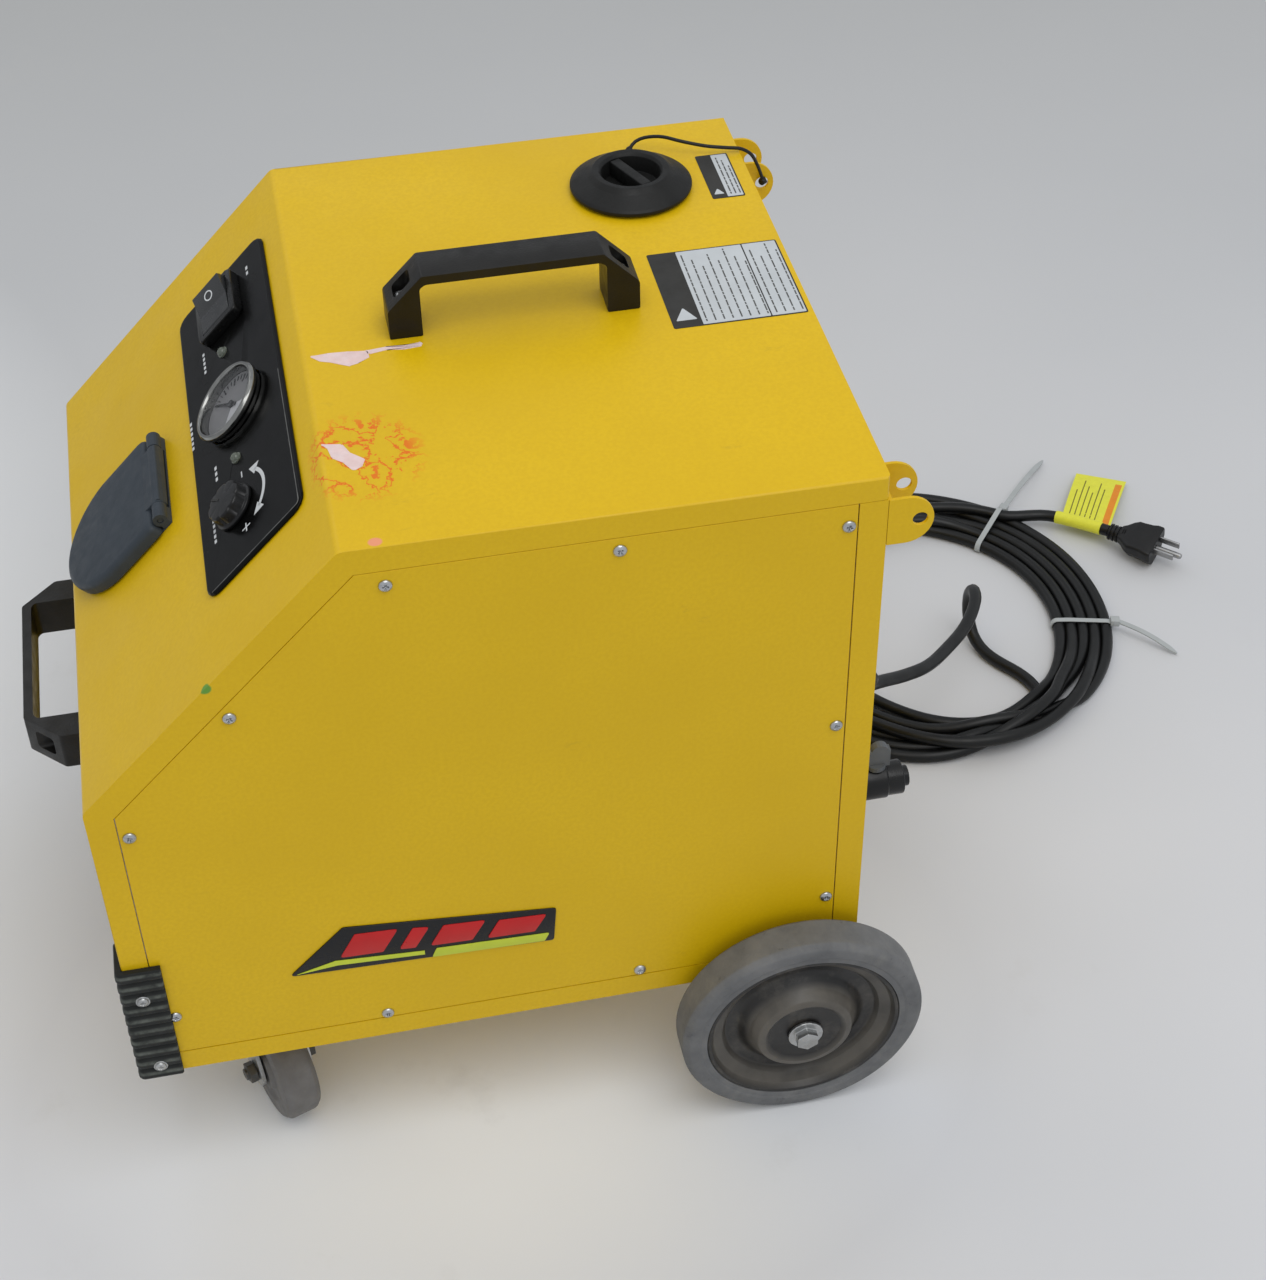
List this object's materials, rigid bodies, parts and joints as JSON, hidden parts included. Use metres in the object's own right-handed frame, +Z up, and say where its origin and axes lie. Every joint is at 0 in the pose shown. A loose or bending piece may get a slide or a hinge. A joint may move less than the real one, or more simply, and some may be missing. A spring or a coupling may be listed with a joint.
{
  "type": "steam cleaner",
  "caption": "Wheeled steam cleaner: sheet-steel cabinet with a sloped control panel, flap-covered hose socket, filler cap, carry handles, casters and a coiled mains cord.",
  "frame": {"origin": "centre of the machine's footprint at floor height, without the mains cord", "axes": "+Z up, -Y the front with the controls, +X the machine's left side"},
  "size_m": [0.5914, 0.8698, 0.5174],
  "materials": {
    "yellow_paint": "satin powder coat",
    "frame_steel": "zinc plated",
    "panel_black": "semi-gloss",
    "switch_black": "gloss",
    "lamp_lens": "clear lens",
    "gauge_chrome": "polished",
    "gauge_face": "printed dial",
    "gauge_hand": "matt",
    "gauge_glass": "clear",
    "inner_black": "matt",
    "socket_grey": "fine texture",
    "stainless": "bright",
    "cap_black": "satin",
    "tether_black": "satin",
    "handle_black": "satin, fine texture",
    "bumper_rubber": "matt",
    "zinc": "bright zinc",
    "tyre_grey": "worn non-marking rubber",
    "rim_black": "dusty",
    "brass": "plain",
    "tank_plastic": "natural",
    "board_green": "solder mask",
    "valve_black": "semi-gloss",
    "cord_black": "dusty"
  },
  "bodies": {
    "chassis": {"base_pan": "yellow_paint", "wrap_cover": "yellow_paint", "rear_panel": "yellow_paint", "side_panel_left": "yellow_paint", "side_panel_right": "yellow_paint", "lug_bracket_left": "yellow_paint", "lug_bracket_right": "yellow_paint", "side_frame_left": "frame_steel", "side_frame_right": "frame_steel", "control_panel": "panel_black", "switch_housing": "switch_black", "status_lamp": "lamp_lens", "fill_lamp": "lamp_lens", "gauge_case": "gauge_chrome", "gauge_dial": "gauge_face", "gauge_glass": "gauge_glass", "output_control": "inner_black", "water_pump": "inner_black", "hose_socket": "socket_grey", "flap_hinge_pin": "stainless", "boiler": "stainless", "heating_element": "stainless", "steam_pipe": "stainless", "filler_neck": "cap_black", "cap_tether": "tether_black", "top_handle": "handle_black", "front_handle": "handle_black", "bumper_left": "bumper_rubber", "bumper_right": "bumper_rubber", "rear_axle": "zinc", "axle_bolt_left": "zinc", "axle_bolt_right": "zinc", "caster_plate_left": "zinc", "caster_plate_right": "zinc", "solenoid_valve": "brass", "water_tank": "tank_plastic", "control_board": "board_green", "drain_valve": "valve_black", "strain_relief": "cord_black", "power_cord": "cord_black", "cord_coil": "cord_black", "cord_tail": "cord_black", "power_plug": "cord_black"},
    "rear_wheel_left": {"rear_tyre_left": "tyre_grey", "rear_rim_left": "rim_black"},
    "rear_wheel_right": {"rear_tyre_right": "tyre_grey", "rear_rim_right": "rim_black"},
    "caster_swivel_left": {"caster_fork_left": "zinc", "caster_axle_left": "zinc"},
    "caster_swivel_right": {"caster_fork_right": "zinc", "caster_axle_right": "zinc"},
    "caster_roller_left": {"caster_wheel_left": "tyre_grey"},
    "caster_roller_right": {"caster_wheel_right": "tyre_grey"},
    "rocker": {"switch_rocker": "switch_black"},
    "knob": {"output_knob": "switch_black"},
    "needle": {"gauge_needle": "gauge_hand"},
    "flap": {"socket_flap": "socket_grey"},
    "tether_ring": {"cap_tether_ring": "cap_black"},
    "cap": {"filler_cap": "cap_black"},
    "lever": {"drain_lever": "socket_grey"}
  },
  "joints": [
    {"name": "rear_wheel_left_spin", "type": "hinge", "parent": "chassis", "child": "rear_wheel_left", "pos_m": [0.20775, 0.17615, 0.0762], "axis": [1, 0, 0], "continuous": true},
    {"name": "caster_left_swivel", "type": "hinge", "parent": "chassis", "child": "caster_swivel_left", "pos_m": [0.1162, -0.15335, 0.0863], "axis": [0, 0, 1], "continuous": true},
    {"name": "caster_left_roll", "type": "hinge", "parent": "caster_swivel_left", "child": "caster_roller_left", "pos_m": [0.14251, -0.14377, 0.0375], "axis": [0.342, -0.9397, 0], "continuous": true},
    {"name": "rear_wheel_right_spin", "type": "hinge", "parent": "chassis", "child": "rear_wheel_right", "pos_m": [-0.20775, 0.17615, 0.0762], "axis": [1, 0, 0], "continuous": true},
    {"name": "caster_right_swivel", "type": "hinge", "parent": "chassis", "child": "caster_swivel_right", "pos_m": [-0.1162, -0.15335, 0.0863], "axis": [0, 0, 1], "continuous": true},
    {"name": "caster_right_roll", "type": "hinge", "parent": "caster_swivel_right", "child": "caster_roller_right", "pos_m": [-0.08989, -0.14377, 0.0375], "axis": [0.342, -0.9397, 0], "continuous": true},
    {"name": "power_rocker", "type": "hinge", "parent": "chassis", "child": "rocker", "pos_m": [-0.0965, -0.11168, 0.44152], "axis": [0, -0.7001, -0.714], "range_deg": [0, 20]},
    {"name": "output_knob_turn", "type": "hinge", "parent": "chassis", "child": "knob", "pos_m": [0.0838, -0.12039, 0.43606], "axis": [0, 0.714, -0.7001], "range_deg": [0, 270]},
    {"name": "gauge_needle_turn", "type": "hinge", "parent": "chassis", "child": "needle", "pos_m": [0, -0.11196, 0.44081], "axis": [0, 0.714, -0.7001], "range_deg": [0, 270], "stiffness_Nm_per_rad": 0.0005},
    {"name": "flap_hinge", "type": "hinge", "parent": "chassis", "child": "flap", "pos_m": [-0.0041, -0.16042, 0.39296], "axis": [-1, 0, 0], "range_deg": [0, 110]},
    {"name": "cap_lift", "type": "slide", "parent": "chassis", "child": "tether_ring", "axis": [0, 0, 1], "range_m": [0, 0.04]},
    {"name": "cap_turn", "type": "hinge", "parent": "tether_ring", "child": "cap", "pos_m": [-0.1173, 0.14225, 0.48], "axis": [0, 0, 1], "range_deg": [0, 360]},
    {"name": "drain_lever_turn", "type": "hinge", "parent": "chassis", "child": "lever", "pos_m": [0.131, 0.23995, 0.206], "axis": [0, 0, 1], "range_deg": [0, 90]}
  ]
}
